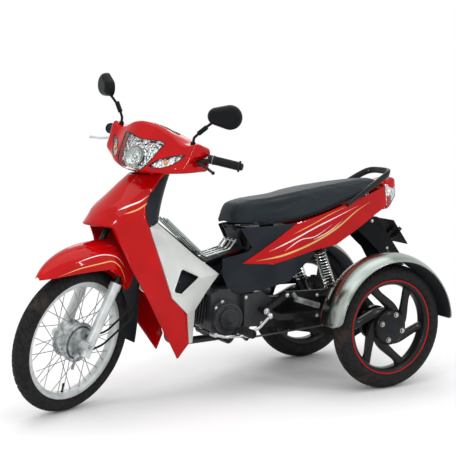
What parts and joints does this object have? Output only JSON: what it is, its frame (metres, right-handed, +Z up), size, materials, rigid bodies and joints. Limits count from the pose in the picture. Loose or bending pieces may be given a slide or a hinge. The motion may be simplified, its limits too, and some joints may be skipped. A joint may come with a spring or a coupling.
{
  "type": "three-wheeled motorcycle",
  "caption": "Step-through motorcycle with a steered wire-spoked front wheel and a pair of cast rear wheels under chrome fenders, for a rider and passenger.",
  "frame": {"origin": "on the floor under the middle of the machine's length and width", "axes": "+X forward, +Y to the rider's left, +Z up; the steering rests turned 24 degrees to the left"},
  "size_m": [1.7921, 0.764, 1.2545],
  "materials": {
    "red_paint": "gloss",
    "silver_panel": "satin",
    "black_plastic": "matte",
    "black_paint": "satin",
    "seat_cover": "grained",
    "tyre_rubber": "matte",
    "soft_rubber": "matte",
    "chrome": "polished",
    "aluminium": "cast",
    "engine_grey": "satin",
    "steel": "brushed",
    "clear_lens": "clear",
    "red_lens": "gloss",
    "mirror_glass": "polished"
  },
  "bodies": {
    "frame": {"frame_spine": "black_paint", "front_cover": "red_paint", "leg_shields": "red_paint", "side_panels": "silver_panel", "inner_shield": "black_plastic", "tunnel_cover": "black_plastic", "centre_covers": "black_plastic", "body_covers": "red_paint", "tail_lamp": "red_lens", "rear_signals": "clear_lens", "grab_rail": "black_paint", "rear_mudguard": "black_plastic", "plate_carrier": "black_paint", "fuel_tank": "black_paint", "crankcase": "engine_grey", "cylinder": "engine_grey", "generator_cover": "engine_grey", "sprocket_cover": "engine_grey", "exhaust": "chrome", "step_bar": "black_paint", "foot_pegs": "soft_rubber", "gear_pedal": "steel", "brake_pedal": "black_paint", "kick_starter": "chrome", "centre_rack": "chrome", "axle_carrier": "black_paint", "axle_housing": "black_paint", "chain_case": "black_paint", "shock_absorbers": "black_paint", "shock_springs": "chrome", "rear_fenders": "chrome", "passenger_pegs": "aluminium", "brake_rod": "steel"},
    "steering": {"fork_sliders": "aluminium", "fork_yoke": "black_paint", "front_fender": "red_paint", "mud_flap": "black_plastic", "brake_panel": "aluminium", "front_axle": "steel", "handlebar": "steel", "grips": "soft_rubber", "lever_left": "black_paint", "lever_right": "aluminium", "handle_cowl": "red_paint", "headlamp": "clear_lens", "front_signals": "clear_lens", "mirrors": "black_plastic", "mirror_glass": "mirror_glass", "front_cables": "soft_rubber"},
    "front_wheel": {"front_tyre": "tyre_rubber", "front_rim": "aluminium", "front_hub": "aluminium"},
    "rear_wheel_left_body": {"rear_tyre_left": "tyre_rubber", "rear_wheel_left": "black_paint"},
    "rear_wheel_right_body": {"rear_tyre_right": "tyre_rubber", "rear_wheel_right": "black_paint"},
    "seat_body": {"seat": "seat_cover"}
  },
  "joints": [
    {"name": "steering", "type": "hinge", "parent": "frame", "child": "steering", "pos_m": [0.56129, 0, 0.279], "axis": [-0.4462, 0, 0.8949], "range_deg": [-66, 18]},
    {"name": "front_wheel_spin", "type": "hinge", "parent": "steering", "child": "front_wheel", "pos_m": [0.62561, 0.02515, 0.27661], "axis": [-0.364, 0.9135, -0.1815], "continuous": true},
    {"name": "rear_left_spin", "type": "hinge", "parent": "frame", "child": "rear_wheel_left_body", "pos_m": [-0.60761, 0.308, 0.25], "axis": [0, 1, 0], "continuous": true},
    {"name": "rear_right_spin", "type": "hinge", "parent": "frame", "child": "rear_wheel_right_body", "pos_m": [-0.60761, -0.308, 0.25], "axis": [0, 1, 0], "continuous": true},
    {"name": "seat_lift", "type": "hinge", "parent": "frame", "child": "seat_body", "pos_m": [-0.05361, 0, 0.657], "axis": [0, 1, 0], "range_deg": [0, 60]}
  ]
}
